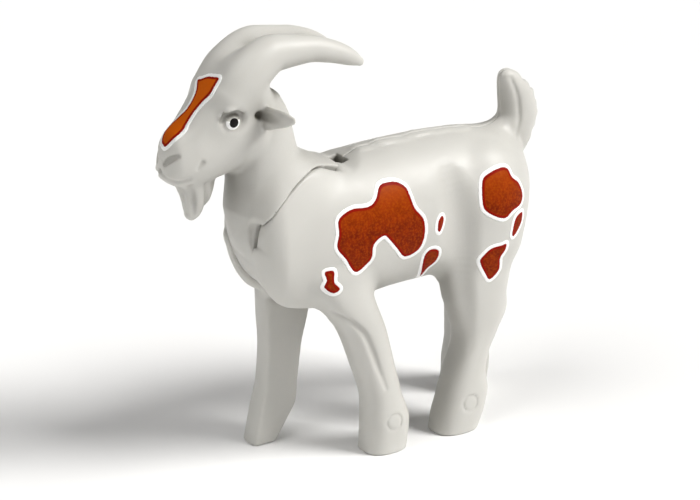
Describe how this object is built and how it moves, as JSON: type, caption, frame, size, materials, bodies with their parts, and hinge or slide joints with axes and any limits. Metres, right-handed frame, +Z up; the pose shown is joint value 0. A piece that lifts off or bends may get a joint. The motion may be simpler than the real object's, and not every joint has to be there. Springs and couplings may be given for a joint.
{
  "type": "toy goat figure",
  "caption": "Moulded plastic billy goat play figure with swept-back horns, a beard, printed brown patches and a nodding neck.",
  "frame": {"origin": "on the ground, under the middle of the whole figure's bounding box", "axes": "+Z up, the goat faces -Y, its left side is +X"},
  "size_m": [0.0228, 0.0609, 0.0629],
  "materials": {
    "white_plastic": "satin injection-moulded off-white",
    "patch_ink": "mottled brown-orange pad print with a darker rim",
    "underprint": "bright white base print round each patch",
    "eye_ink": "glossy black pad print"
  },
  "bodies": {
    "body": {"left_belly_spot": "patch_ink", "left_body_half": "white_plastic", "left_flank_fleck": "patch_ink", "left_flank_patch": "patch_ink", "left_haunch_patch": "patch_ink", "left_rump_fleck": "patch_ink", "left_shoulder_spot": "patch_ink", "left_thigh_spot": "patch_ink", "right_back_spot": "patch_ink", "right_belly_spot": "patch_ink", "right_body_half": "white_plastic", "right_flank_patch": "patch_ink", "right_haunch_patch": "patch_ink", "right_shoulder_spot": "patch_ink", "right_thigh_spot": "patch_ink"},
    "head": {"face_blaze": "patch_ink", "head_and_neck": "white_plastic", "left_eye": "eye_ink", "right_eye": "eye_ink"}
  },
  "joints": [
    {"name": "neck_nod", "type": "hinge", "parent": "body", "child": "head", "pos_m": [0, -0.0086, 0.0336], "axis": [1, 0, 0], "range_deg": [-8, 18]}
  ]
}
